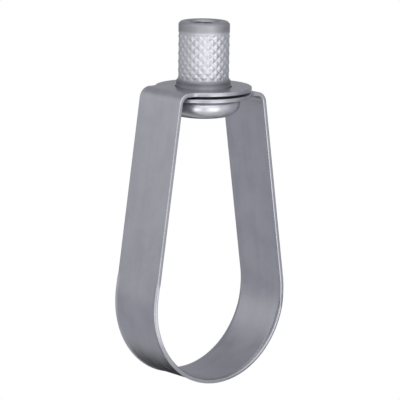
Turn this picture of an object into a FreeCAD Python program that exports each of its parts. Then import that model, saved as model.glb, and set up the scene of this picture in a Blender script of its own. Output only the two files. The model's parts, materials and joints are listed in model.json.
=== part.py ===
import FreeCAD, Part
import math
import os
import Sketcher

# Swivel ring hanger: a folded strip band that carries a pipe, and the tapped nut that it turns on.
# Millimetres. The origin is the centre of the pipe ring, Y is the pipe's axis and Z points up the rod.
# The left leg (towards -X) ends in the upper eye and the right leg (towards +X) in the lower eye.

# Driving dimensions: alias, value, meaning
SIZES = [
    ("pipe_seat_dia", 50.0, "inside diameter of the ring, for a pipe of 48.3"),
    ("strip_gauge", 1.3, "thickness of the strip"),
    ("strip_width", 19.6, "width of the strip"),
    ("eye_top", 66.1, "height of the upper eye's top face above the ring's centre"),
    ("eye_gap", 0.7, "open space between the two eyes"),
    ("corner_radius", 2.4, "inside radius of the folded corners between the legs and the eyes"),
    ("eye_dia", 30.0, "outside diameter of both eyes"),
    ("eye_blend", 3.0, "radius of the hollow where an eye runs into the strip"),
    ("eye_room", 1.25, "clearance between the edge of an eye and the inside of the leg beside it"),
    ("flare_angle", 40.0, "degrees that the ring's edges are turned outwards"),
    ("flare_radius", 1.5, "tight radius of the turned edges"),
    ("flare_spread", 0.9, "how much wider the ring is across its turned edges than the strip"),
    ("plain_ring_angle", 5.7, "degrees of plain ring between each leg and the turned edges"),
    ("flare_run_out_angle", 6.0, "degrees over which the turned edges die away"),
    ("edge_break", 0.2, "chamfer of the strip's cut edges"),
    ("barrel_dia", 15.9, "outside diameter of the nut's knurled barrel"),
    ("barrel_rise", 20.1, "height of the barrel's top above the upper eye"),
    ("barrel_chamfer", 0.7, "chamfer of the barrel's top edge"),
    ("barrel_collar", 3.3, "plain height of the barrel above its knurl"),
    ("foot_dia", 16.9, "diameter of the plain foot below the knurl, which turns in the upper eye"),
    ("foot_rise", 1.8, "height of the foot above the upper eye"),
    ("foot_taper", 0.45, "height over which the foot narrows to the barrel"),
    ("knurl_columns", 18, "diamonds round the barrel"),
    ("knurl_row", 1.3, "height from one row of diamonds to the next"),
    ("knurl_depth", 0.3, "depth of the grooves between the diamonds"),
    ("knurl_set_back", 0.02, "how far the diamonds' points lie inside the plain barrel"),
    ("neck_dia", 14.2, "diameter of the neck that turns in the lower eye"),
    ("running_clearance", 0.3, "radial clearance of the nut in both eyes"),
    ("end_play", 0.3, "clearance above and below the lower eye"),
    ("flange_dia", 23.0, "outside diameter of the flange that carries the lower eye"),
    ("flange_thickness", 5.5, "height of the flange"),
    ("flange_chamfer", 2.4, "chamfer of the flange's lower edge"),
    ("flange_break", 0.4, "chamfer of the flange's upper edge"),
    ("thread_minor_dia", 7.94, "bore of the nut, the minor diameter of its 3/8-16 thread"),
    ("thread_lead_in", 1.0, "depth and width of the countersink at both ends of the bore"),
]

SIZE = {alias: value for alias, value, meaning in SIZES}

CORNER_X_RULE = "(sizes.eye_dia / 2 + sizes.eye_room - sizes.corner_radius)"
CORNER_Z_RULE = "(sizes.eye_top - sizes.strip_gauge - sizes.corner_radius)"
LEG_LEAN_RULE = (f"((atan2({CORNER_Z_RULE}; {CORNER_X_RULE})"
                 " - acos((sizes.pipe_seat_dia / 2 - sizes.corner_radius)"
                 f" / sqrt({CORNER_X_RULE} ^ 2 + {CORNER_Z_RULE} ^ 2))) / (1 deg))")


def corner_centre(top):
    """Centre of the folded corner of a leg whose eye has its upper face at that height."""
    across = SIZE["eye_dia"] / 2 + SIZE["eye_room"] - SIZE["corner_radius"]
    return (across, top - SIZE["strip_gauge"] - SIZE["corner_radius"])


def leg_lean(top):
    """Degrees that a leg leans in towards the rod, running straight from the ring to its folded corner."""
    across, up = corner_centre(top)
    turn = math.acos((SIZE["pipe_seat_dia"] / 2 - SIZE["corner_radius"]) / math.hypot(across, up))
    return math.degrees(math.atan2(up, across) - turn)


# Degrees from the bottom of the ring to each end of its plain part and of its fully turned edges
PLAIN_FROM = 90 + leg_lean(SIZE["eye_top"]) - SIZE["plain_ring_angle"]
PLAIN_FROM_RULE = f"(90 + {LEG_LEAN_RULE} - sizes.plain_ring_angle)"
FLARE_SPAN = PLAIN_FROM - SIZE["flare_run_out_angle"]
FLARE_SPAN_RULE = f"({PLAIN_FROM_RULE} - sizes.flare_run_out_angle)"
# How far the edges are turned half way along each run-out, as a share of the whole flare
HALF_FLARE = 0.5

ORIGIN = (-1, 1)
START = 1
END = 2
CENTRE = 3

# An edge is a sharp one where its two faces turn by more than this, in radians
SHARP_TURN = math.pi / 3
# Lengths closer than this, in millimetres, are the same
SAME_LENGTH = 1e-4


def make_sheet(doc):
    """The driving dimensions, one row each, with aliases that every sketch refers to."""
    sheet = doc.addObject("Spreadsheet::Sheet", "sizes")
    for row, (alias, value, meaning) in enumerate(SIZES, start=1):
        sheet.set(f"A{row}", meaning)
        sheet.set(f"B{row}", str(value))
        sheet.setAlias(f"B{row}", alias)
    doc.recompute()


def origin_feature(body, role):
    for feature in body.Origin.OriginFeatures:
        if feature.Role == role:
            return feature
    raise RuntimeError(f"{body.Label} has no {role}")


class Profile:
    """A sketch on one of its body's origin planes, with constraints that follow the sheet."""

    def __init__(self, body, name, plane, axis=(0, 0, 1), turn=0.0, lift=0.0):
        self.sketch = body.newObject("Sketcher::SketchObject", name)
        self.sketch.AttachmentSupport = (origin_feature(body, plane), [""])
        self.sketch.MapMode = "FlatFace"
        rotation = FreeCAD.Rotation(FreeCAD.Vector(*axis), turn)
        self.sketch.AttachmentOffset = FreeCAD.Placement(FreeCAD.Vector(0, 0, lift), rotation)

    def bind(self, path, expression):
        self.sketch.setExpression(path, expression)

    def line(self, start, end):
        first = FreeCAD.Vector(*start, 0)
        second = FreeCAD.Vector(*end, 0)
        return self.sketch.addGeometry(Part.LineSegment(first, second), False)

    def arc(self, centre, radius, start_degrees, end_degrees):
        circle = Part.Circle(FreeCAD.Vector(*centre, 0), FreeCAD.Vector(0, 0, 1), radius)
        start = math.radians(start_degrees)
        end = math.radians(end_degrees)
        return self.sketch.addGeometry(Part.ArcOfCircle(circle, start, end), False)

    def circle(self, radius):
        circle = Part.Circle(FreeCAD.Vector(0, 0, 0), FreeCAD.Vector(0, 0, 1), radius)
        index = self.sketch.addGeometry(circle, False)
        self.tie("Coincident", index, CENTRE, *ORIGIN)
        return index

    def tie(self, kind, *where):
        self.sketch.addConstraint(Sketcher.Constraint(kind, *where))

    def measure(self, kind, *where_and_value, follows):
        """A dimension drawn at its present value and driven by an expression of the sheet."""
        index = self.sketch.addConstraint(Sketcher.Constraint(kind, *where_and_value))
        self.sketch.setExpression(f"Constraints[{index}]", follows)

    def outline(self, corners):
        """A closed outline of straight lines: each corner is its X and Y, then the rules they follow."""
        points = [(across, up) for across, up, across_rule, up_rule in corners]
        following = points[1:] + points[:1]
        lines = [self.line(start, end) for start, end in zip(points, following)]
        for position, index in enumerate(lines):
            self.tie("Coincident", index, START, lines[position - 1], END)
            across, up, across_rule, up_rule = corners[position]
            self.measure("DistanceX", *ORIGIN, index, START, across, follows=across_rule)
            self.measure("DistanceY", *ORIGIN, index, START, up, follows=up_rule)


TURNED_EDGE_START_RULE = ("((sizes.strip_width + sizes.flare_spread) / 2"
                          " - (sizes.flare_radius + sizes.strip_gauge) * sin(sizes.flare_angle))")


def turned_edge_start():
    """Distance from the middle of the strip to where its edges begin to turn outwards."""
    reach = (SIZE["flare_radius"] + SIZE["strip_gauge"]) * math.sin(math.radians(SIZE["flare_angle"]))
    return (SIZE["strip_width"] + SIZE["flare_spread"]) / 2 - reach


def flared_section(body, name, turn, turn_rule, share=1):
    """Cross-section of the ring, drawn at its bottom and turned round the pipe's axis.

    A share below 1 turns the edges by less, on a wider radius, over the same length of strip.
    """
    seat = SIZE["pipe_seat_dia"] / 2
    gauge = SIZE["strip_gauge"]
    middle = (SIZE["flare_radius"] + gauge / 2) / share
    tight = middle - gauge / 2
    wide = middle + gauge / 2
    flare = SIZE["flare_angle"] * share
    bend_at = turned_edge_start()
    depth = -(seat + wide)
    outer = -(seat + gauge)

    def rim(side, radius):
        angle = math.radians(90 - flare)
        return (side * (bend_at + radius * math.cos(angle)), depth + radius * math.sin(angle))

    profile = Profile(body, name, "YZ_Plane", (1, 0, 0), turn)
    profile.bind("AttachmentOffset.Rotation.Angle", turn_rule)
    seat_line = profile.line((-bend_at, -seat), (bend_at, -seat))
    right_wide = profile.arc((bend_at, depth), wide, 90 - flare, 90)
    right_edge = profile.line(rim(1, tight), rim(1, wide))
    right_tight = profile.arc((bend_at, depth), tight, 90 - flare, 90)
    back_line = profile.line((bend_at, outer), (-bend_at, outer))
    left_tight = profile.arc((-bend_at, depth), tight, 90, 90 + flare)
    left_edge = profile.line(rim(-1, tight), rim(-1, wide))
    left_wide = profile.arc((-bend_at, depth), wide, 90, 90 + flare)

    profile.tie("Tangent", seat_line, END, right_wide, END)
    profile.tie("Coincident", right_wide, START, right_edge, END)
    profile.tie("Coincident", right_edge, START, right_tight, START)
    profile.tie("Tangent", right_tight, END, back_line, START)
    profile.tie("Tangent", back_line, END, left_tight, START)
    profile.tie("Coincident", left_tight, END, left_edge, START)
    profile.tie("Coincident", left_edge, END, left_wide, END)
    profile.tie("Tangent", left_wide, START, seat_line, START)
    profile.tie("Coincident", right_wide, CENTRE, right_tight, CENTRE)
    profile.tie("Coincident", left_wide, CENTRE, left_tight, CENTRE)
    profile.tie("Horizontal", seat_line)
    profile.tie("PointOnObject", right_wide, CENTRE, right_edge)
    profile.tie("PointOnObject", left_wide, CENTRE, left_edge)

    middle_rule = f"(sizes.flare_radius + sizes.strip_gauge / 2) / {share}"
    tight_rule = f"{middle_rule} - sizes.strip_gauge / 2"
    wide_rule = f"{middle_rule} + sizes.strip_gauge / 2"
    flare_rule = f"sizes.flare_angle * {share}"
    profile.measure("Radius", right_tight, tight, follows=tight_rule)
    profile.measure("Radius", left_tight, tight, follows=tight_rule)
    profile.measure("Radius", right_wide, wide, follows=wide_rule)
    profile.measure("Radius", left_wide, wide, follows=wide_rule)
    profile.measure("Angle", right_edge, math.radians(90 - flare), follows=f"90 - {flare_rule}")
    profile.measure("Angle", left_edge, math.radians(90 + flare), follows=f"90 + {flare_rule}")
    profile.measure("DistanceX", *ORIGIN, right_wide, END, bend_at, follows=TURNED_EDGE_START_RULE)
    profile.measure("DistanceX", left_wide, START, *ORIGIN, bend_at, follows=TURNED_EDGE_START_RULE)
    profile.measure("DistanceY", seat_line, START, *ORIGIN, seat, follows="sizes.pipe_seat_dia / 2")
    return profile.sketch


def flat_section(body, name, turn, turn_rule):
    """Cross-section of the plain strip, with a corner for each corner of the flared section."""
    seat = SIZE["pipe_seat_dia"] / 2
    outer = seat + SIZE["strip_gauge"]
    half = SIZE["strip_width"] / 2
    bend_at = turned_edge_start()
    bend_rule = TURNED_EDGE_START_RULE
    seat_rule = "-sizes.pipe_seat_dia / 2"
    outer_rule = "-(sizes.pipe_seat_dia / 2 + sizes.strip_gauge)"
    profile = Profile(body, name, "YZ_Plane", (1, 0, 0), turn)
    profile.bind("AttachmentOffset.Rotation.Angle", turn_rule)
    profile.outline([
        (-bend_at, -seat, f"-{bend_rule}", seat_rule),
        (bend_at, -seat, bend_rule, seat_rule),
        (half, -seat, "sizes.strip_width / 2", seat_rule),
        (half, -outer, "sizes.strip_width / 2", outer_rule),
        (bend_at, -outer, bend_rule, outer_rule),
        (-bend_at, -outer, f"-{bend_rule}", outer_rule),
        (-half, -outer, "-sizes.strip_width / 2", outer_rule),
        (-half, -seat, "-sizes.strip_width / 2", seat_rule),
    ])
    return profile.sketch


def leg_sketch(body, name, turn, top, top_rule, hole, hole_rule):
    """Side view of one leg: the ring's plain end, the leg, the folded corner and the strip's flat end."""
    seat = SIZE["pipe_seat_dia"] / 2
    gauge = SIZE["strip_gauge"]
    bend = SIZE["corner_radius"]
    lean = leg_lean(top)
    ring_end = PLAIN_FROM - 90
    normal = (math.cos(math.radians(lean)), math.sin(math.radians(lean)))
    first = (math.cos(math.radians(ring_end)), math.sin(math.radians(ring_end)))
    centre = corner_centre(top)
    flat_end = (blend_start()[0] + hole / 2) / 2

    def beyond(distance):
        return (centre[0] + normal[0] * distance, centre[1] + normal[1] * distance)

    profile = Profile(body, name, "XZ_Plane", (0, 1, 0), turn)
    ring_in = profile.arc((0, 0), seat, ring_end, lean)
    leg_in = profile.line((normal[0] * seat, normal[1] * seat), beyond(bend))
    bend_in = profile.arc(centre, bend, lean, 90)
    flat_under = profile.line((centre[0], top - gauge), (flat_end, top - gauge))
    flat_edge = profile.line((flat_end, top - gauge), (flat_end, top))
    flat_top = profile.line((flat_end, top), (centre[0], top))
    bend_out = profile.arc(centre, bend + gauge, lean, 90)
    leg_out = profile.line(beyond(bend + gauge), (normal[0] * (seat + gauge), normal[1] * (seat + gauge)))
    ring_out = profile.arc((0, 0), seat + gauge, ring_end, lean)
    ring_edge = profile.line((first[0] * seat, first[1] * seat),
                             (first[0] * (seat + gauge), first[1] * (seat + gauge)))

    profile.tie("Coincident", ring_in, CENTRE, *ORIGIN)
    profile.tie("Coincident", ring_out, CENTRE, *ORIGIN)
    profile.tie("Coincident", bend_in, CENTRE, bend_out, CENTRE)
    profile.tie("Tangent", ring_in, END, leg_in, START)
    profile.tie("Tangent", leg_in, END, bend_in, START)
    profile.tie("Tangent", bend_in, END, flat_under, START)
    profile.tie("Coincident", flat_under, END, flat_edge, START)
    profile.tie("Coincident", flat_edge, END, flat_top, START)
    profile.tie("Tangent", flat_top, END, bend_out, END)
    profile.tie("Tangent", bend_out, START, leg_out, START)
    profile.tie("Tangent", leg_out, END, ring_out, END)
    profile.tie("Coincident", ring_in, START, ring_edge, START)
    profile.tie("Coincident", ring_out, START, ring_edge, END)
    profile.tie("Horizontal", flat_under)
    profile.tie("Horizontal", flat_top)
    profile.tie("Vertical", flat_edge)
    profile.tie("PointOnObject", *ORIGIN, ring_edge)

    profile.measure("Radius", ring_in, seat, follows="sizes.pipe_seat_dia / 2")
    profile.measure("Radius", ring_out, seat + gauge, follows="sizes.pipe_seat_dia / 2 + sizes.strip_gauge")
    profile.measure("Radius", bend_in, bend, follows="sizes.corner_radius")
    profile.measure("Radius", bend_out, bend + gauge, follows="sizes.corner_radius + sizes.strip_gauge")
    profile.measure("DistanceX", *ORIGIN, bend_in, CENTRE, centre[0], follows=CORNER_X_RULE)
    profile.measure("Angle", ring_edge, math.radians(ring_end), follows=f"{PLAIN_FROM_RULE} - 90")
    profile.measure("DistanceY", *ORIGIN, flat_top, START, top, follows=top_rule)
    profile.measure("DistanceX", *ORIGIN, flat_top, START, flat_end,
                    follows=f"({BLEND_START_RULE} + {hole_rule} / 2) / 2")
    return profile.sketch


BLEND_START_RULE = ("sqrt((sizes.eye_dia / 2 + sizes.eye_blend) ^ 2"
                    " - (sizes.strip_width / 2 + sizes.eye_blend) ^ 2)")


def blend_start():
    """Centre of the hollow between an eye and the strip's edge: the eye starts at its X."""
    reach = SIZE["eye_dia"] / 2 + SIZE["eye_blend"]
    side = SIZE["strip_width"] / 2 + SIZE["eye_blend"]
    return (math.sqrt(reach ** 2 - side ** 2), side)


def eye_sketch(body, name, turn, top, top_rule, hole, hole_rule):
    """Plan of one eye: a round pad with its hole, blended into the strip that comes from +X."""
    rim = SIZE["eye_dia"] / 2
    blend = SIZE["eye_blend"]
    half = SIZE["strip_width"] / 2
    blend_x, blend_y = blend_start()
    slope = math.degrees(math.atan2(blend_y, blend_x))

    profile = Profile(body, name, "XY_Plane", (0, 0, 1), turn, top)
    profile.bind("AttachmentOffset.Base.z", top_rule)
    rim_arc = profile.arc((0, 0), rim, slope, 360 - slope)
    back_blend = profile.arc((blend_x, blend_y), blend, 180 + slope, 270)
    front_blend = profile.arc((blend_x, -blend_y), blend, 90, 180 - slope)
    across = profile.line((blend_x, half), (blend_x, -half))
    profile.tie("Coincident", rim_arc, CENTRE, *ORIGIN)
    profile.tie("Tangent", rim_arc, START, back_blend, START)
    profile.tie("Tangent", rim_arc, END, front_blend, END)
    profile.tie("Coincident", back_blend, END, across, START)
    profile.tie("Coincident", front_blend, START, across, END)
    profile.tie("Vertical", back_blend, CENTRE, back_blend, END)
    profile.tie("Vertical", front_blend, CENTRE, front_blend, START)
    profile.measure("Radius", rim_arc, rim, follows="sizes.eye_dia / 2")
    profile.measure("Radius", back_blend, blend, follows="sizes.eye_blend")
    profile.measure("Radius", front_blend, blend, follows="sizes.eye_blend")
    profile.measure("DistanceY", *ORIGIN, across, START, half, follows="sizes.strip_width / 2")
    profile.measure("DistanceY", across, END, *ORIGIN, half, follows="sizes.strip_width / 2")
    hole_circle = profile.circle(hole / 2)
    profile.measure("Radius", hole_circle, hole / 2, follows=f"({hole_rule}) / 2")
    return profile.sketch


def pad(body, name, sketch, length_rule, symmetric=False, downwards=False):
    feature = body.newObject("PartDesign::Pad", name)
    feature.Profile = (sketch, [""])
    if symmetric:
        feature.SideType = "Symmetric"
    feature.Reversed = downwards
    feature.setExpression("Length", length_rule)
    return feature


def sharp_edges(shape):
    """Names of the edges where two faces of the strip meet squarely, as its sheared edges do."""
    names = []
    for number, edge in enumerate(shape.Edges, start=1):
        middle = edge.valueAt((edge.FirstParameter + edge.LastParameter) / 2)
        normals = []
        for face in shape.ancestorsOfType(edge, Part.Face):
            normals.append(face.normalAt(*face.Surface.parameter(middle)))
        if len(normals) == 2 and normals[0].getAngle(normals[1]) > SHARP_TURN:
            names.append(f"Edge{number}")
    return names


def chamfer(body, name, edge_names, size_rule):
    base = body.Tip
    feature = body.newObject("PartDesign::Chamfer", name)
    feature.Base = (base, edge_names)
    feature.setExpression("Size", size_rule)


def make_band(doc):
    """The whole strip: flared ring, two run-outs, two legs with their folded corners, and the two eyes."""
    body = doc.addObject("PartDesign::Body", "band")
    gauge = SIZE["strip_gauge"]
    clearance = 2 * SIZE["running_clearance"]

    section = flared_section(body, "ring_section", 0.0, "0")
    ring = body.newObject("PartDesign::Revolution", "flared_ring")
    ring.Profile = (section, [""])
    ring.ReferenceAxis = (origin_feature(body, "Y_Axis"), [""])
    ring.Midplane = True
    ring.setExpression("Angle", f"2 * {FLARE_SPAN_RULE}")
    doc.recompute()

    for side, sign in (("left", 1), ("right", -1)):
        start_rule = f"{sign} * {FLARE_SPAN_RULE}"
        end_rule = f"{sign} * {PLAIN_FROM_RULE}"
        flared = flared_section(body, f"{side}_flare_end", sign * FLARE_SPAN, start_rule)
        midway = flared_section(body, f"{side}_half_flare", sign * (FLARE_SPAN + PLAIN_FROM) / 2,
                                f"({start_rule} + {end_rule}) / 2", HALF_FLARE)
        flat = flat_section(body, f"{side}_leg_start", sign * PLAIN_FROM, end_rule)
        run_out = body.newObject("PartDesign::AdditiveLoft", f"{side}_run_out")
        run_out.Profile = (flared, [""])
        run_out.Sections = [(midway, [""]), (flat, [""])]
        doc.recompute()

    lower_top = "(sizes.eye_top - sizes.strip_gauge - sizes.eye_gap)"
    legs = [
        ("left", 180.0, SIZE["eye_top"], "sizes.eye_top",
         SIZE["foot_dia"] + clearance, "(sizes.foot_dia + 2 * sizes.running_clearance)"),
        ("right", 0.0, SIZE["eye_top"] - gauge - SIZE["eye_gap"], lower_top,
         SIZE["neck_dia"] + clearance, "(sizes.neck_dia + 2 * sizes.running_clearance)"),
    ]
    for side, turn, top, top_rule, hole, hole_rule in legs:
        side_view = leg_sketch(body, f"{side}_leg_profile", turn, top, top_rule, hole, hole_rule)
        pad(body, f"{side}_leg", side_view, "sizes.strip_width", symmetric=True)
        doc.recompute()
    for side, turn, top, top_rule, hole, hole_rule in legs:
        plan = eye_sketch(body, f"{side}_eye_plan", turn, top, top_rule, hole, hole_rule)
        pad(body, f"{side}_eye", plan, "sizes.strip_gauge", downwards=True)
        doc.recompute()

    chamfer(body, "deburred_edges", sharp_edges(body.Tip.Shape), "sizes.edge_break")
    return body


def circular_edges(shape, radius, height):
    """Names of the round edges of a turned piece at one radius and height."""
    names = []
    for number, edge in enumerate(shape.Edges, start=1):
        curve = edge.Curve
        if isinstance(curve, Part.Circle):
            same_radius = abs(curve.Radius - radius) < SAME_LENGTH
            if same_radius and abs(curve.Center.z - height) < SAME_LENGTH:
                names.append(f"Edge{number}")
    if not names:
        raise RuntimeError(f"no round edge at radius {radius} and height {height}")
    return names


def knurled_core(bottom, top):
    """Solid with a diamond knurl round it: points and groove crossings take turns, round and up."""
    steps = 2 * int(SIZE["knurl_columns"])
    rows = max(1, round((top - bottom) / SIZE["knurl_row"]))
    high = SIZE["barrel_dia"] / 2 - SIZE["knurl_set_back"]
    low = high - SIZE["knurl_depth"]

    def corner(step, row):
        angle = 2 * math.pi * step / steps
        radius = high if (step + row) % 2 == 0 else low
        height = bottom + (top - bottom) * row / rows
        return FreeCAD.Vector(radius * math.cos(angle), radius * math.sin(angle), height)

    def facet(*corners):
        return Part.Face(Part.makePolygon([*corners, corners[0]]))

    faces = [facet(*[corner(step, row) for step in range(steps)]) for row in (0, rows)]
    for row in range(rows):
        for step in range(steps):
            below, beside = corner(step, row), corner(step + 1, row)
            above, across = corner(step, row + 1), corner(step + 1, row + 1)
            if (step + row) % 2 == 0:
                faces.append(facet(below, beside, above))
                faces.append(facet(beside, across, above))
            else:
                faces.append(facet(below, beside, across))
                faces.append(facet(below, across, above))
    core = Part.Solid(Part.makeShell(faces))
    if core.Volume < 0:
        core.reverse()
    return core


def knurl(doc, blank, bottom, top, bottom_rule, top_rule):
    """Cuts the two sets of crossing grooves into the barrel of the turned blank."""
    zone = doc.addObject("Part::Cylinder", "knurl_zone")
    zone.setExpression("Radius", "sizes.barrel_dia")
    zone.setExpression("Height", f"({top_rule}) - ({bottom_rule})")
    zone.setExpression("Placement.Base.z", bottom_rule)
    core = doc.addObject("Part::Feature", "knurled_core")
    core.Shape = knurled_core(bottom, top)
    grooves = doc.addObject("Part::Cut", "knurl_grooves")
    grooves.Base = zone
    grooves.Tool = core
    nut = doc.addObject("Part::Cut", "swivel_nut")
    nut.Base = blank
    nut.Tool = grooves
    doc.recompute()
    return nut


def make_swivel_nut(doc):
    """The turned nut: flange, neck in the lower eye, foot in the upper eye, knurled barrel, tapped bore."""
    body = doc.addObject("PartDesign::Body", "nut_blank")
    bore = SIZE["thread_minor_dia"] / 2
    mouth = bore + SIZE["thread_lead_in"]
    neck = SIZE["neck_dia"] / 2
    foot = SIZE["foot_dia"] / 2
    barrel = SIZE["barrel_dia"] / 2
    flange = SIZE["flange_dia"] / 2
    top = SIZE["eye_top"] + SIZE["barrel_rise"]
    lower_eye_top = SIZE["eye_top"] - SIZE["strip_gauge"] - SIZE["eye_gap"]
    shoulder = lower_eye_top + SIZE["end_play"]
    foot_top = SIZE["eye_top"] + SIZE["foot_rise"]
    knurl_bottom = foot_top + SIZE["foot_taper"]
    flange_top = lower_eye_top - SIZE["strip_gauge"] - SIZE["end_play"]
    bottom = flange_top - SIZE["flange_thickness"]

    bore_rule = "sizes.thread_minor_dia / 2"
    mouth_rule = "sizes.thread_minor_dia / 2 + sizes.thread_lead_in"
    neck_rule = "sizes.neck_dia / 2"
    foot_rule = "sizes.foot_dia / 2"
    barrel_rule = "sizes.barrel_dia / 2"
    flange_rule = "sizes.flange_dia / 2"
    top_rule = "sizes.eye_top + sizes.barrel_rise"
    shoulder_rule = "sizes.eye_top - sizes.strip_gauge - sizes.eye_gap + sizes.end_play"
    foot_top_rule = "sizes.eye_top + sizes.foot_rise"
    knurl_bottom_rule = f"{foot_top_rule} + sizes.foot_taper"
    flange_top_rule = "sizes.eye_top - 2 * sizes.strip_gauge - sizes.eye_gap - sizes.end_play"
    bottom_rule = f"{flange_top_rule} - sizes.flange_thickness"

    profile = Profile(body, "turned_profile", "XZ_Plane")
    profile.outline([
        (mouth, bottom, mouth_rule, bottom_rule),
        (flange, bottom, flange_rule, bottom_rule),
        (flange, flange_top, flange_rule, flange_top_rule),
        (neck, flange_top, neck_rule, flange_top_rule),
        (neck, shoulder, neck_rule, shoulder_rule),
        (foot, shoulder, foot_rule, shoulder_rule),
        (foot, foot_top, foot_rule, foot_top_rule),
        (barrel, knurl_bottom, barrel_rule, knurl_bottom_rule),
        (barrel, top, barrel_rule, top_rule),
        (mouth, top, mouth_rule, top_rule),
        (bore, top - SIZE["thread_lead_in"], bore_rule, f"{top_rule} - sizes.thread_lead_in"),
        (bore, bottom + SIZE["thread_lead_in"], bore_rule, f"{bottom_rule} + sizes.thread_lead_in"),
    ])
    blank = body.newObject("PartDesign::Revolution", "turned_blank")
    blank.Profile = (profile.sketch, [""])
    blank.ReferenceAxis = (origin_feature(body, "Z_Axis"), [""])
    blank.Angle = 360

    rims = [
        ("barrel_rim", barrel, top, "sizes.barrel_chamfer"),
        ("flange_rim", flange, bottom, "sizes.flange_chamfer"),
        ("flange_edge", flange, flange_top, "sizes.flange_break"),
    ]
    for name, radius, height, size_rule in rims:
        doc.recompute()
        chamfer(body, name, circular_edges(body.Tip.Shape, radius, height), size_rule)
    doc.recompute()
    return knurl(doc, body, knurl_bottom, top - SIZE["barrel_collar"],
                 knurl_bottom_rule, f"{top_rule} - sizes.barrel_collar")


def check(doc, bodies):
    """Stops with a plain message if any feature failed or any piece isn't one sound solid."""
    for item in doc.Objects:
        if "Invalid" in item.State or "Error" in item.State:
            raise RuntimeError(f"{item.Name} failed: {item.State}")
    for body in bodies:
        shape = body.Shape
        if shape.isNull() or not shape.isValid() or len(shape.Solids) != 1:
            raise RuntimeError(f"{body.Label} is not one valid solid")
        print(body.Label, "volume", round(shape.Volume, 2), "box", shape.optimalBoundingBox())


def main():
    doc = FreeCAD.newDocument("swivel_ring_hanger")
    make_sheet(doc)
    bodies = [make_band(doc), make_swivel_nut(doc)]
    doc.recompute()
    check(doc, bodies)
    os.makedirs("parts", exist_ok=True)
    for body in bodies:
        body.Shape.exportStep(f"parts/{body.Label}.step")


main()
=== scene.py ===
import json
import math

import bmesh
import bpy
import numpy as np
from mathutils import Matrix, Vector


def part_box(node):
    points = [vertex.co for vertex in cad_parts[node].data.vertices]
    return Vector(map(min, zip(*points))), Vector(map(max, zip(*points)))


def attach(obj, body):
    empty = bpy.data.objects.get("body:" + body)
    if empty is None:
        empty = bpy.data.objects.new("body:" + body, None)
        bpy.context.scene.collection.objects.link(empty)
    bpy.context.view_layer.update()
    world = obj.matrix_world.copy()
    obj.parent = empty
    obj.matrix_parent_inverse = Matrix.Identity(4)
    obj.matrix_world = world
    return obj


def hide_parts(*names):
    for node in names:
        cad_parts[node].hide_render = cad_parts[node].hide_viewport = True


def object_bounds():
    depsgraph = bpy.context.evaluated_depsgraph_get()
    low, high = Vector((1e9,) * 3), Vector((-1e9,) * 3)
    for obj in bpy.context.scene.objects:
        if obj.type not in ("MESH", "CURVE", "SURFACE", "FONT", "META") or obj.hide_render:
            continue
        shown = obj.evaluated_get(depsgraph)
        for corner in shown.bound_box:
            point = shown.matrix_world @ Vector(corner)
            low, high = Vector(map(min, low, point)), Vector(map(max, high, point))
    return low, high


MM = 0.001
TURN = 2 * math.pi

# The photograph's viewpoint, fitted to the object's outline: degrees and millimetres
VIEW_AZIMUTH = -40.2
VIEW_ELEVATION = 10.9
VIEW_ROLL = 0.8
VIEW_DISTANCE = 888.6
VIEW_HEIGHT = 30.1
VIEW_ASIDE = -0.56
LENS = 256.6
SENSOR = 36.0

# The folded strip, in millimetres and degrees
GAUGE = 1.3
STRIP_WIDTH = 19.6
RING_RADIUS = 25.0
CORNER_RADIUS = 2.4
EYE_RADIUS = 15.0
EYE_BLEND = 3.0
EYE_ROOM = 1.25
EYE_GAP = 0.7
RUNNING_CLEARANCE = 0.3
FLARE_ANGLE = 40.0
FLARE_RADIUS = 1.5
FLARE_SPREAD = 0.9
EDGE_RADIUS = 0.3
WELD = 0.001

# Heights from the ring's middle between which the turned edge runs out: full below, plain above
LEFT_RUN_OUT = (6.6, 8.6)
RIGHT_RUN_OUT = (-6.5, -1.0)

# How finely the strip is divided: numbers of steps, the length of leg with steps of its own beside
# the ring, and where rows of points lie between an eye's rim and its hole
FLAT_STEPS = 5
TURNED_STEPS = 6
EDGE_STEPS = 4
CORNER_STEPS = 12
LEG_STEPS = 10
LEG_END_STEPS = 14
LEG_END = 6.5
RING_STEPS = 120
BLEND_STEPS = 8
RIM_STEPS = 72
EYE_ROWS = (0, 0.35, 0.7)

# The turned nut, in millimetres: radii, and heights above its underside or below its top
FLANGE_CHAMFER = 2.4
FLANGE_HEIGHT = 5.5
NECK_RADIUS = 7.1
SHOULDER_HEIGHT = 7.4
FOOT_RADIUS = 8.45
FOOT_TOP = 10.9
KNURL_START = 11.35
BARREL_RADIUS = 7.95
BARREL_COLLAR = 3.3
BARREL_CHAMFER = 0.7

# Roundings of the nut's corners: how far they may reach along each side, the length of a side over
# the longest reach that it allows, the points in one, and the angle from which an edge stays sharp
EDGE_ROUNDING = 0.22
FLANGE_FOOT_ROUNDING = 2.6
FLANGE_TOP_ROUNDING = 1.6
SIDE_PER_REACH = 2.1
ROUNDING_STEPS = 5
SHARP_ANGLE = 50
NEVER_SHARP = 180

# Diamond knurl: pyramids round the barrel, their height up it, and the depth between them
KNURL_COLUMNS = 18
KNURL_DIAMOND = 2.6
KNURL_DEPTH = 0.3
KNURL_SET_BACK = 0.02
KNURL_FLAT = 0.15
KNURL_FADE = 0.35
STEPS_PER_CELL = 6

# 3/8-16 thread in the bore
THREAD_PITCH = 25.4 / 16
THREAD_DEPTH = 0.79
THREAD_ROOT_HALF = 0.1
THREAD_FLANK = 0.456
THREAD_LEAD_IN = 1.0
THREAD_ROWS_PER_TURN = 12


def towards(azimuth, elevation):
    """Unit vector from the object to a place at this azimuth from +X and this elevation, in degrees."""
    a = math.radians(azimuth)
    e = math.radians(elevation)
    return Vector((math.cos(a) * math.cos(e), math.sin(a) * math.cos(e), math.sin(e)))


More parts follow.
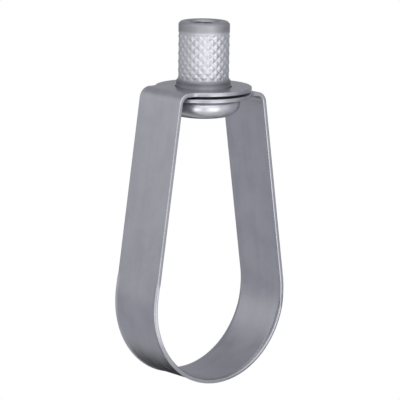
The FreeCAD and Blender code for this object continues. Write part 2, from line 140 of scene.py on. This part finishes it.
class Tree:
    """Short calls for building a node tree."""

    def __init__(self, tree):
        self.tree = tree
        tree.nodes.clear()

    def add(self, kind, values=None, **settings):
        """A node with these settings, and these values or sockets on its inputs."""
        node = self.tree.nodes.new(kind)
        for name, setting in settings.items():
            setattr(node, name, setting)
        for name, value in (values or {}).items():
            if isinstance(value, bpy.types.NodeSocket):
                self.tree.links.new(value, node.inputs[name])
            else:
                node.inputs[name].default_value = value
        return node

    def place(self):
        """Where a point lies on its own object, in metres."""
        return self.add("ShaderNodeTexCoord").outputs["Object"]

    def stretched(self, place, scales):
        return self.add("ShaderNodeVectorMath", {0: place, 1: scales}, operation="MULTIPLY").outputs[0]

    def noise(self, place, scale=1.0, detail=2.0, roughness=0.5):
        values = {"Vector": place, "Scale": scale, "Detail": detail, "Roughness": roughness}
        return self.add("ShaderNodeTexNoise", values).outputs[0]

    def compute(self, operation, *values):
        return self.add("ShaderNodeMath", dict(enumerate(values)), operation=operation).outputs[0]

    def blend(self, shares):
        """The sum of several values, each times its share."""
        total = 0.0
        for value, share in shares:
            total = self.compute("MULTIPLY_ADD", value, share, total)
        return total

    def between(self, value, low, high, to_low=0.0, to_high=1.0):
        """A smooth step that takes the value's range from low to high to another range."""
        values = dict(enumerate((value, low, high, to_low, to_high)))
        return self.add("ShaderNodeMapRange", values, interpolation_type="SMOOTHSTEP").outputs[0]

    def mix(self, share, first, second):
        return self.add("ShaderNodeMix", {0: share, 6: first, 7: second}, data_type="RGBA").outputs[2]

    def seen(self):
        """1 for rays that show the background: straight from the camera, mirrored or let through."""
        rays = self.add("ShaderNodeLightPath").outputs
        mirrored = self.compute("MAXIMUM", rays["Is Glossy Ray"], rays["Is Transmission Ray"])
        return self.compute("MAXIMUM", rays["Is Camera Ray"], mirrored)

    def either(self, share, first, second):
        """A shader node that shows this share of the second one and the rest of the first."""
        values = {0: share, 1: first.outputs[0], 2: second.outputs[0]}
        return self.add("ShaderNodeMixShader", values)

    def finish(self, shader, kind="ShaderNodeOutputMaterial"):
        output = self.add(kind)
        self.tree.links.new(shader.outputs[0], output.inputs["Surface"])


def new_material(name):
    material = bpy.data.materials.new(name)
    material.use_nodes = True
    return material, Tree(material.node_tree)


# The strip's zinc: scales of its pattern per metre, darkest and palest tone, least and greatest
# roughness, the pattern's values between which tone and roughness change, and relief
STREAK_SCALES = (18.0, 1400.0, 18.0)
BAND_SCALES = (12.0, 260.0, 12.0)
MOTTLE_SCALE = 95.0
GRAIN_SCALE = 1900.0
STRIP_TONES = (0.34, 0.344, 0.383, 1), (0.39, 0.394, 0.43, 1)
STRIP_ROUGHNESS = (0.3, 0.38)
STRIP_TONE_RANGE = (0.38, 0.62)
STRIP_WEAR_RANGE = (0.4, 0.62)
STRIP_RELIEF = {"Strength": 0.14, "Distance": 0.00006}

# The nut's zinc, in the same order. Collar and foot have roughness and painted dark tones of their own
TURNING_SCALES = (60.0, 60.0, 5200.0)
NUT_MOTTLE_SCALE = 260.0
NUT_TONES = (0.48, 0.485, 0.52, 1), (0.52, 0.525, 0.56, 1)
# Painted reflection: the collar's dark tone stands in for dark surroundings mirrored in it
COLLAR_PAINTED_REFLECTION_TONE = (0.3, 0.305, 0.33, 1)
# Painted shade: the foot runs from the first tone at the shoulder to the darker second at its top
FOOT_PAINTED_SHADE_TONES = (0.5, 0.505, 0.535, 1), (0.17, 0.175, 0.198, 1)
NUT_METALLIC = 0.92
NUT_ROUGHNESS = (0.3, 0.38)
NUT_TONE_RANGE = (0.35, 0.65)
NUT_WEAR_RANGE = (0.3, 0.7)
KNURL_ROUGHER = 0.14
COLLAR_ROUGHER = 0.13
FOOT_ROUGHER = 0.1
NUT_RELIEF = {"Strength": 0.2, "Distance": 0.00005}

# Where those tones begin and end, in millimetres from the edge that they belong to
COLLAR_FADE = (-0.3, 1.0)
SHOULDER_FADE = 0.4
FOOT_FADE = (1.2, -0.3)


def strip_material():
    """Zinc-coated strip: rolling streaks along its length, faint mottling and fine grain."""
    material, tree = new_material("galvanised_strip")
    place = tree.place()
    streaks = tree.noise(tree.stretched(place, STREAK_SCALES), detail=4.0, roughness=0.6)
    bands = tree.noise(tree.stretched(place, BAND_SCALES))
    mottle = tree.noise(place, MOTTLE_SCALE, detail=4.0, roughness=0.62)
    grain = tree.noise(place, GRAIN_SCALE)

    tone = tree.blend([(streaks, 0.15), (mottle, 0.6), (bands, 0.25)])
    colour = tree.mix(tree.between(tone, *STRIP_TONE_RANGE), *STRIP_TONES)
    wear = tree.blend([(streaks, 0.5), (mottle, 0.5)])
    roughness = tree.between(wear, *STRIP_WEAR_RANGE, *STRIP_ROUGHNESS)
    relief = tree.blend([(streaks, 0.6), (grain, 0.4), (mottle, 0.9)])
    bump = tree.add("ShaderNodeBump", {**STRIP_RELIEF, "Height": relief})
    surface = tree.add("ShaderNodeBsdfPrincipled", {
        "Base Color": colour, "Metallic": 1.0, "Roughness": roughness, "Normal": bump.outputs[0]})
    tree.finish(surface)
    return material


def nut_material(base, top):
    """Zinc plating on turned steel: turning marks round the axis and a faint mottle.

    The smooth collar and foot, found by their heights between the nut's base and top, are darker
    than the flange and the knurl: the collar's tone is painted reflection, the foot's painted shade,
    darkest at its top.
    """
    material, tree = new_material("zinc_plated_nut")
    place = tree.place()
    height = tree.compute("MULTIPLY", tree.add("ShaderNodeSeparateXYZ", {0: place}).outputs[2], 1 / MM)
    collar_from = top - BARREL_COLLAR
    shoulder = base + SHOULDER_HEIGHT
    foot_top = base + FOOT_TOP
    knurl_from = base + KNURL_START
    collar = tree.between(height, collar_from + COLLAR_FADE[0], collar_from + COLLAR_FADE[1])
    above_eye = tree.between(height, shoulder, shoulder + SHOULDER_FADE)
    below_knurl = tree.between(height, knurl_from + FOOT_FADE[0], foot_top + FOOT_FADE[1])
    foot = tree.compute("MULTIPLY", above_eye, below_knurl)
    knurled = tree.compute("SUBTRACT", above_eye, tree.compute("MAXIMUM", collar, foot))

    turning = tree.noise(tree.stretched(place, TURNING_SCALES), detail=3.0, roughness=0.6)
    mottle = tree.noise(place, NUT_MOTTLE_SCALE, detail=4.0, roughness=0.6)
    colour = tree.mix(tree.between(mottle, *NUT_TONE_RANGE), *NUT_TONES)
    # Painted reflection: the collar takes its darker tone
    colour = tree.mix(collar, colour, COLLAR_PAINTED_REFLECTION_TONE)
    # Painted shade: the foot darkens from the shoulder up to its top
    foot_painted_shade = tree.mix(tree.between(height, shoulder, foot_top), *FOOT_PAINTED_SHADE_TONES)
    colour = tree.mix(foot, colour, foot_painted_shade)
    roughness = tree.blend([
        (tree.between(mottle, *NUT_WEAR_RANGE, *NUT_ROUGHNESS), 1.0),
        (knurled, KNURL_ROUGHER),
        (collar, COLLAR_ROUGHER),
        (foot, FOOT_ROUGHER),
    ])
    relief = tree.blend([(turning, 0.6), (mottle, 1.0)])
    bump = tree.add("ShaderNodeBump", {**NUT_RELIEF, "Height": relief})
    surface = tree.add("ShaderNodeBsdfPrincipled", {
        "Base Color": colour, "Metallic": NUT_METALLIC, "Roughness": roughness,
        "Normal": bump.outputs[0]})
    tree.finish(surface)
    return material


def turned_edge_start():
    """Distance from the middle of the strip to where its edges begin to turn outwards."""
    reach = (FLARE_RADIUS + GAUGE) * math.sin(math.radians(FLARE_ANGLE))
    return (STRIP_WIDTH + FLARE_SPREAD) / 2 - reach


def edge_profile():
    """The strip's rounded edge from one flat side to the other.

    Its points are (out from the strip's middle layer, beyond the flats).
    """
    core = GAUGE / 2 - EDGE_RADIUS
    turns = np.linspace(0, math.pi / 2, EDGE_STEPS + 1)
    near = [(-core - EDGE_RADIUS * math.cos(turn), EDGE_RADIUS * math.sin(turn)) for turn in turns]
    return near + [(-out, beyond) for out, beyond in near[::-1]]


def strip_section(share):
    """Cross-section of the strip with its edges turned outwards by a share of the flare.

    Its points are (across, out from the pipe's side), round from the middle of that side.
    """
    half = GAUGE / 2
    flat = turned_edge_start()
    full = math.radians(FLARE_ANGLE)
    length = (STRIP_WIDTH / 2 - flat) * (1 - share) + (FLARE_RADIUS + half) * full * share

    def middle(along):
        """A point of the strip's middle layer, so far along the turned edge, and the normal there."""
        turn = full * share * along / length
        across = flat + along * np.sinc(turn / math.pi)
        out = half + along * np.sinc(turn / TURN) * math.sin(turn / 2)
        return np.array((across, out)), np.array((-math.sin(turn), math.cos(turn)))

    stations = [(np.array((across, half)), np.array((0.0, 1.0)))
                for across in np.linspace(0, flat, FLAT_STEPS, endpoint=False)]
    stations += [middle(along) for along in np.linspace(0, length - EDGE_RADIUS, TURNED_STEPS)]
    inside = [point - normal * half for point, normal in stations]
    outside = [point + normal * half for point, normal in stations]
    last, normal = stations[-1]
    beyond_last = np.array((normal[1], -normal[0]))
    edge = [last + normal * out + beyond_last * beyond for out, beyond in edge_profile()[1:-1]]
    right = inside + edge + outside[::-1]
    left = [point * (-1, 1) for point in right[-2:0:-1]]
    return np.array(right + left)


def corner_centre(top):
    return EYE_RADIUS + EYE_ROOM - CORNER_RADIUS, top - GAUGE - CORNER_RADIUS


def leg_lean(top):
    """Radians that a leg leans in towards the rod between the ring and its folded corner."""
    across, up = corner_centre(top)
    return math.atan2(up, across) - math.acos((RING_RADIUS - CORNER_RADIUS) / math.hypot(across, up))


def strip_path(left_top, right_top):
    """Places on the strip's pipe side, from eye to eye.

    Each is X, Z, the direction in which the strip's other side faces, and the flare's share.
    """
    left_lean, right_lean = leg_lean(left_top), leg_lean(right_top)
    places = []

    def place(x, z, facing):
        full, plain = LEFT_RUN_OUT if x < 0 else RIGHT_RUN_OUT
        share = min(1, max(0, (plain - z) / (plain - full)))
        places.append((x, z, facing, share * share * (3 - 2 * share)))

    def bend(centre, radius, first, last, steps):
        for facing in np.linspace(first, last, steps + 1):
            place(centre[0] + radius * math.cos(facing), centre[1] + radius * math.sin(facing), facing)

    def straight(end, facing):
        start = np.array(places[-1][:2])
        way = np.array(end) - start
        fine_from = 1 - LEG_END / np.linalg.norm(way)
        shares = [
            *np.linspace(0, fine_from, LEG_STEPS + 1)[1:],
            *np.linspace(fine_from, 1, LEG_END_STEPS + 1)[1:-1],
        ]
        if way[1] > 0:
            shares = [1 - share for share in shares[::-1]]
        for share in shares:
            place(*(start + way * share), facing)

    def on_circle(centre, radius, facing):
        return centre[0] + radius * math.cos(facing), centre[1] + radius * math.sin(facing)

    across, up = corner_centre(left_top)
    left = math.pi - left_lean
    right = TURN + right_lean
    bend((-across, up), CORNER_RADIUS, math.pi / 2, left, CORNER_STEPS)
    straight(on_circle((0, 0), RING_RADIUS, left), left)
    bend((0, 0), RING_RADIUS, left, right, RING_STEPS)
    straight(on_circle(corner_centre(right_top), CORNER_RADIUS, right), right)
    bend(corner_centre(right_top), CORNER_RADIUS, right, 2.5 * math.pi, CORNER_STEPS)
    return places


def swept_strip(left_top, right_top):
    """The ring, the legs and the folded corners: the cross-section carried along the strip's path."""
    rings = []
    for x, z, facing, share in strip_path(left_top, right_top):
        across, out = strip_section(share).T
        rings.append(np.stack((x + out * math.cos(facing), across, z + out * math.sin(facing)), axis=1))
    return np.array(rings)


def eye_outline():
    """Plan of an eye whose strip comes from +X: points of its edge and the directions they face."""
    half = STRIP_WIDTH / 2
    reach = EYE_RADIUS + EYE_BLEND
    side = half + EYE_BLEND
    blend = np.array((math.sqrt(reach ** 2 - side ** 2), side))
    slope = math.atan2(blend[1], blend[0])
    upper = [(np.array((corner_centre(0)[0], half)), np.array((0.0, 1.0)))]
    for turn in np.linspace(1.5 * math.pi, math.pi + slope, BLEND_STEPS + 1):
        way = np.array((math.cos(turn), math.sin(turn)))
        upper.append((blend + EYE_BLEND * way, -way))
    lower = [(point * (1, -1), facing * (1, -1)) for point, facing in upper[::-1]]
    for turn in np.linspace(slope, TURN - slope, RIM_STEPS + 1)[1:-1]:
        way = np.array((math.cos(turn), math.sin(turn)))
        upper.append((EYE_RADIUS * way, way))
    points, facings = zip(*(upper + lower))
    return np.array(points), np.array(facings)


def eye_grids(top, hole_radius, side):
    """One eye: its rounded edge, and its two flats with the hole between them.

    Its strip goes off to this side, 1 for +X and -1 for -X.
    """
    outline, facings = eye_outline()
    inset = outline - facings * EDGE_RADIUS
    edge = [
        np.column_stack((inset + facings * beyond, np.full(len(inset), top - GAUGE / 2 + out)))
        for out, beyond in edge_profile()
    ]
    columns = FLAT_STEPS + TURNED_STEPS
    half_line = strip_section(0)[1:columns - 1, 0]
    line = np.concatenate((-half_line[::-1], (0.0,), half_line))
    fold_line = np.column_stack((np.full(len(line), corner_centre(0)[0]), line))
    loop = np.concatenate((inset, fold_line))
    distance = np.linalg.norm(loop, axis=1)
    way = loop / distance[:, None]

    upper = [(distance + (hole_radius + EDGE_RADIUS - distance) * share, 0.0) for share in EYE_ROWS]
    for turn in np.linspace(0, math.pi / 2, EDGE_STEPS + 1):
        radius = hole_radius + EDGE_RADIUS * (1 - math.sin(turn))
        upper.append((np.full(len(loop), radius), EDGE_RADIUS * (1 - math.cos(turn))))
    lower = [(radius, GAUGE - drop) for radius, drop in upper[::-1]]
    flats = [
        np.column_stack((way * radius[:, None], np.full(len(loop), top - drop)))
        for radius, drop in upper + lower
    ]
    mirror = np.array((side, 1, 1))
    return [(np.array(edge) * mirror, False, False), (np.array(flats) * mirror, False, True)]


def make_band(eye_top):
    """The folded strip with its two eyes as one closed surface."""
    lower_top = eye_top - GAUGE - EYE_GAP
    grids = [(swept_strip(eye_top, lower_top), False, True)]
    grids += eye_grids(eye_top, FOOT_RADIUS + RUNNING_CLEARANCE, -1)
    grids += eye_grids(lower_top, NECK_RADIUS + RUNNING_CLEARANCE, 1)
    return make_piece("folded_band", grids, NEVER_SHARP)


def rounded(corners):
    """The points of an open outline of (across, up, rounding) with its inner corners rounded."""
    outline = [np.array(corner[:2], float) for corner in corners]
    points = [outline[0]]
    for before, here, after, corner in zip(outline, outline[1:], outline[2:], corners[1:]):
        back = before - here
        ahead = after - here
        reach = min(
            corner[2],
            np.linalg.norm(back) / SIDE_PER_REACH,
            np.linalg.norm(ahead) / SIDE_PER_REACH,
        )
        start = here + back / np.linalg.norm(back) * reach
        end = here + ahead / np.linalg.norm(ahead) * reach
        for t in np.linspace(0, 1, ROUNDING_STEPS + 1):
            points.append(start * (1 - t) ** 2 + here * 2 * t * (1 - t) + end * t ** 2)
    points.append(outline[-1])
    return np.array(points)


def knurl_depth(angle, height, foot, top):
    """How far the knurled barrel lies inside its plain radius: pyramids between two sets of grooves."""
    rows = round((top - foot) / KNURL_DIAMOND * 2)
    up = (height - foot) / (top - foot) * rows / 2
    along = angle / TURN * KNURL_COLUMNS
    rise = np.minimum(np.abs((along + up) % 1 - 0.5), np.abs((along - up) % 1 - 0.5)) * 2
    crest = np.minimum(1, rise / (1 - KNURL_FLAT))
    fade = np.clip(np.minimum(height - foot, top - height) / KNURL_FADE, 0, 1)
    return fade * (KNURL_SET_BACK + KNURL_DEPTH * (1 - crest))


def thread_depth(angle, height):
    """How deep the right-hand thread is cut behind the bore's minor radius."""
    phase = (height / THREAD_PITCH - angle / TURN) % 1
    beside_root = np.abs(phase - 0.5) * THREAD_PITCH
    reach = THREAD_ROOT_HALF + THREAD_FLANK
    return THREAD_DEPTH * np.clip((reach - beside_root) / THREAD_FLANK, 0, 1)


def nut_rows(flange_radius, bore_radius, height):
    """Rows of the nut's surface from the bore's lower mouth round the outside and back down the bore."""
    columns = 2 * KNURL_COLUMNS * STEPS_PER_CELL
    angle = np.arange(columns) / columns * TURN
    mouth = bore_radius + THREAD_LEAD_IN
    knurl_top = height - BARREL_COLLAR
    rows = []

    def plain(points):
        for radius, level in points:
            rows.append((np.full(columns, radius), level))

    plain(rounded([
        (mouth, 0, 0),
        (flange_radius - FLANGE_CHAMFER, 0, FLANGE_FOOT_ROUNDING),
        (flange_radius, FLANGE_CHAMFER, FLANGE_FOOT_ROUNDING),
        (flange_radius, FLANGE_HEIGHT, FLANGE_TOP_ROUNDING),
        (NECK_RADIUS, FLANGE_HEIGHT, EDGE_ROUNDING),
        (NECK_RADIUS, SHOULDER_HEIGHT, EDGE_ROUNDING),
        (FOOT_RADIUS, SHOULDER_HEIGHT, EDGE_ROUNDING),
        (FOOT_RADIUS, FOOT_TOP, EDGE_ROUNDING),
        (BARREL_RADIUS, KNURL_START, 0),
    ]))
    knurl_rows = round((knurl_top - KNURL_START) / KNURL_DIAMOND * 2) * STEPS_PER_CELL
    for level in np.linspace(KNURL_START, knurl_top, knurl_rows + 1)[1:]:
        depth = knurl_depth(angle, level, KNURL_START, knurl_top)
        rows.append((BARREL_RADIUS - depth, level))
    plain(rounded([
        (BARREL_RADIUS, knurl_top, 0),
        (BARREL_RADIUS, height - BARREL_CHAMFER, EDGE_ROUNDING),
        (BARREL_RADIUS - BARREL_CHAMFER, height, EDGE_ROUNDING),
        (mouth, height, 0),
    ])[1:])
    thread_rows = round(height / THREAD_PITCH * THREAD_ROWS_PER_TURN)
    for level in np.linspace(height, 0, thread_rows + 1)[1:-1]:
        countersink = max(0, THREAD_LEAD_IN - min(level, height - level))
        radius = bore_radius + np.maximum(countersink, thread_depth(angle, level))
        rows.append((radius, level))
    return angle, rows


def make_nut(low, high, bore_radius):
    """The turned, knurled and tapped nut as one closed surface, from the corners of its box."""
    angle, rows = nut_rows(high.x / MM, bore_radius, (high.z - low.z) / MM)
    across, along = np.cos(angle), np.sin(angle)
    points = [
        np.column_stack((radius * across, radius * along, np.full(len(angle), low.z / MM + level)))
        for radius, level in rows
    ]
    return make_piece("knurled_nut", [(np.array(points), True, True)], SHARP_ANGLE)


def grid_faces(first, rows, columns, closed_rows, closed_columns):
    """Quads of a grid of points. The last row or column is joined to the first where it closes."""
    faces = []
    for row in range(rows if closed_rows else rows - 1):
        below = first + row * columns
        above = first + (row + 1) % rows * columns
        for column in range(columns if closed_columns else columns - 1):
            beside = (column + 1) % columns
            faces.append((below + column, below + beside, above + beside, above + column))
    return faces


def make_piece(name, grids, sharp_angle):
    """One closed piece from grids of points in millimetres, welded where they meet."""
    vertices = []
    faces = []
    for points, closed_rows, closed_columns in grids:
        rows, columns = points.shape[:2]
        faces += grid_faces(len(vertices), rows, columns, closed_rows, closed_columns)
        vertices += (points.reshape(-1, 3) * MM).tolist()
    mesh = bpy.data.meshes.new(name)
    mesh.from_pydata(vertices, [], faces)
    work = bmesh.new()
    work.from_mesh(mesh)
    bmesh.ops.remove_doubles(work, verts=work.verts, dist=WELD * MM)
    bmesh.ops.recalc_face_normals(work, faces=work.faces)
    work.to_mesh(mesh)
    work.free()
    mesh.shade_smooth()
    mesh.set_sharp_from_angle(angle=math.radians(sharp_angle))
    piece = bpy.data.objects.new(name, mesh)
    bpy.context.scene.collection.objects.link(piece)
    flats_first = piece.modifiers.new("flats_first", "WEIGHTED_NORMAL")
    flats_first.keep_sharp = True
    return piece


def paint(thing, material):
    thing.data.materials.clear()
    thing.data.materials.append(material)


def add_camera():
    back = towards(VIEW_AZIMUTH - 90, VIEW_ELEVATION)
    turn = back.to_track_quat("Z", "Y").to_matrix()
    roll = Matrix.Rotation(math.radians(VIEW_ROLL), 3, "Z")
    data = bpy.data.cameras.new("camera")
    data.lens = LENS
    data.sensor_width = SENSOR
    camera = bpy.data.objects.new("camera", data)
    aim = Vector((0, 0, VIEW_HEIGHT)) + turn.col[0] * VIEW_ASIDE
    place = Matrix.Translation((aim + back * VIEW_DISTANCE) * MM)
    camera.matrix_world = place @ (turn @ roll).to_4x4()
    bpy.context.scene.collection.objects.link(camera)
    bpy.context.scene.camera = camera


# Lamps: azimuth and elevation in degrees, distance, width and height in metres, and radiance
LAMPS = [
    ("upper_softbox", 246, 26, 0.8, 1.0, 0.44, 1.6),
    ("left_softbox", 208, -19, 0.5, 0.24, 0.28, 1.9),
    ("right_softbox", 263, -19, 0.5, 0.30, 0.28, 2.1),
    ("top_softbox", 230, 72, 0.7, 0.9, 0.7, 0.45),
]


def add_lamps():
    for name, azimuth, elevation, distance, width, height, radiance in LAMPS:
        data = bpy.data.lights.new(name, "AREA")
        data.shape = "RECTANGLE"
        data.size = width
        data.size_y = height
        data.energy = radiance * math.pi * width * height
        lamp = bpy.data.objects.new(name, data)
        away = towards(azimuth, elevation)
        turn = away.to_track_quat("Z", "Y").to_matrix().to_4x4()
        lamp.matrix_world = Matrix.Translation(away * distance) @ turn
        bpy.context.scene.collection.objects.link(lamp)


# Cards that only the metal mirrors: azimuths and elevations of their sides in degrees, distance
# in metres and grey level
CARDS = [
    ("dark_card", 30, 100, -80, 6, 0.40, 0.0),
    ("grey_card", -25, 125, -12, 70, 0.42, 0.49),
    ("side_card", -52, 50, -70, 30, 0.44, 0.5),
    ("pale_card", 90, 165, -60, 9, 0.46, 0.64),
]

# How a card is made: degrees between its points, degrees over which it fades out at its sides, its
# height over the longest fade at its top and bottom, and its blue over its grey level
CARD_STEP = 5
CARD_FADE = 16
CARD_HEIGHT_PER_FADE = 3
CARD_BLUE = 1.06


def card_material(name, first, last, lowest, highest, distance, grey):
    """A grey glow that fades out towards the four sides of its card."""
    material, tree = new_material(name)
    x, y, z = tree.add("ShaderNodeSeparateXYZ", {0: tree.place()}).outputs
    middle = towards((first + last) / 2, 0)
    ahead = tree.blend([(x, middle.x), (y, middle.y)])
    aside = tree.blend([(y, middle.x), (x, -middle.y)])
    azimuth = tree.compute("MULTIPLY", tree.compute("ARCTAN2", aside, ahead), math.degrees(1))
    elevation = tree.compute("ARCSINE", tree.compute("DIVIDE", z, distance))
    elevation = tree.compute("MULTIPLY", elevation, math.degrees(1))
    fade = min(CARD_FADE, (highest - lowest) / CARD_HEIGHT_PER_FADE)
    side = (last - first) / 2
    cover = tree.between(azimuth, -side, CARD_FADE - side)
    for share in (
        tree.between(azimuth, side, side - CARD_FADE),
        tree.between(elevation, lowest, lowest + fade),
        tree.between(elevation, highest, highest - fade),
    ):
        cover = tree.compute("MULTIPLY", cover, share)
    glow = tree.add("ShaderNodeEmission", {"Color": (grey, grey, grey * CARD_BLUE, 1)})
    tree.finish(tree.either(cover, tree.add("ShaderNodeBsdfTransparent"), glow))
    return material


def add_cards():
    for name, first, last, lowest, highest, distance, grey in CARDS:
        azimuths = np.linspace(first, last, round((last - first) / CARD_STEP) + 1)
        elevations = np.linspace(lowest, highest, round((highest - lowest) / CARD_STEP) + 1)
        vertices = [towards(a, e) * distance for e in elevations for a in azimuths]
        mesh = bpy.data.meshes.new(name)
        mesh.from_pydata(vertices, [], grid_faces(0, len(elevations), len(azimuths), False, False))
        card = bpy.data.objects.new(name, mesh)
        bpy.context.scene.collection.objects.link(card)
        paint(card, card_material(name, first, last, lowest, highest, distance, grey))
        card.visible_camera = False
        card.visible_diffuse = False
        card.visible_shadow = False


# The floor, in metres: its drop below the part, its radius, and the distances from its middle between
# which its share of plain white grows from a part to the whole
FLOOR_DROP = 0.3
FLOOR_RADIUS = 1.6
FLOOR_SIDES = 96
FLOOR_COLOUR = (0.9, 0.9, 0.9, 1)
WHITE_NEAR = 0.25
WHITE_FAR = 1.1
WHITE_SHARE_NEAR = 0.4

# Plain white, and the strength of it that lights the part from the world
WHITE = (1, 1, 1, 1)
WORLD_LIGHT = 0.4


def add_floor(lowest):
    """A pale round floor under the hanging part. It shows white, keeps shadows and has no underside."""
    mesh = bpy.data.meshes.new("floor")
    rim = [towards(360 * side / FLOOR_SIDES, 0) * FLOOR_RADIUS for side in range(FLOOR_SIDES)]
    mesh.from_pydata(rim, [], [tuple(range(FLOOR_SIDES))])
    floor = bpy.data.objects.new("floor", mesh)
    floor.location.z = lowest - FLOOR_DROP
    bpy.context.scene.collection.objects.link(floor)
    material, tree = new_material("pale_floor")
    away = tree.add("ShaderNodeVectorMath", {0: tree.place()}, operation="LENGTH").outputs["Value"]
    share = tree.compute(
        "MULTIPLY", tree.seen(), tree.between(away, WHITE_NEAR, WHITE_FAR, WHITE_SHARE_NEAR, 1.0))
    matt = tree.add("ShaderNodeBsdfDiffuse", {"Color": FLOOR_COLOUR})
    lit = tree.either(share, matt, tree.add("ShaderNodeEmission", {"Color": WHITE}))
    underside = tree.add("ShaderNodeNewGeometry").outputs["Backfacing"]
    tree.finish(tree.either(underside, lit, tree.add("ShaderNodeBsdfTransparent")))
    paint(floor, material)


def add_world():
    world = bpy.data.worlds.new("studio")
    world.use_nodes = True
    bpy.context.scene.world = world
    tree = Tree(world.node_tree)
    light = tree.add("ShaderNodeBackground", {"Color": WHITE, "Strength": WORLD_LIGHT})
    white = tree.add("ShaderNodeBackground", {"Color": WHITE, "Strength": 1.0})
    tree.finish(tree.either(tree.seen(), light, white), "ShaderNodeOutputWorld")


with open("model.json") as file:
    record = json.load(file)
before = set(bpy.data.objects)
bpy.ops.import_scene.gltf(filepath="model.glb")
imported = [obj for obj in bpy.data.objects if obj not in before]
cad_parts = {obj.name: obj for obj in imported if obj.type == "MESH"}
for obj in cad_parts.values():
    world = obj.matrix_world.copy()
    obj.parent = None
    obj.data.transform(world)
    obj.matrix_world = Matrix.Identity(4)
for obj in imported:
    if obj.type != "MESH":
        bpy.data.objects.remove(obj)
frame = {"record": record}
cad_box = [list(corner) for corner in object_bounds()]

_, band_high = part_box("band")
band = make_band(band_high.z / MM)
paint(band, strip_material())
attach(band, "strip")
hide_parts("band")

nut_low, nut_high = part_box("swivel_nut")
bore = next(mount for mount in frame["record"]["mounts"] if mount["name"] == "rod_thread")
nut = make_nut(nut_low, nut_high, bore["dims"]["r_mm"])
paint(nut, nut_material(nut_low.z / MM, nut_high.z / MM))
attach(nut, "nut")
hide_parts("swivel_nut")

bpy.context.scene.view_settings.view_transform = "Standard"
add_camera()
add_lamps()
add_cards()
add_floor(cad_box[0][2])
add_world()
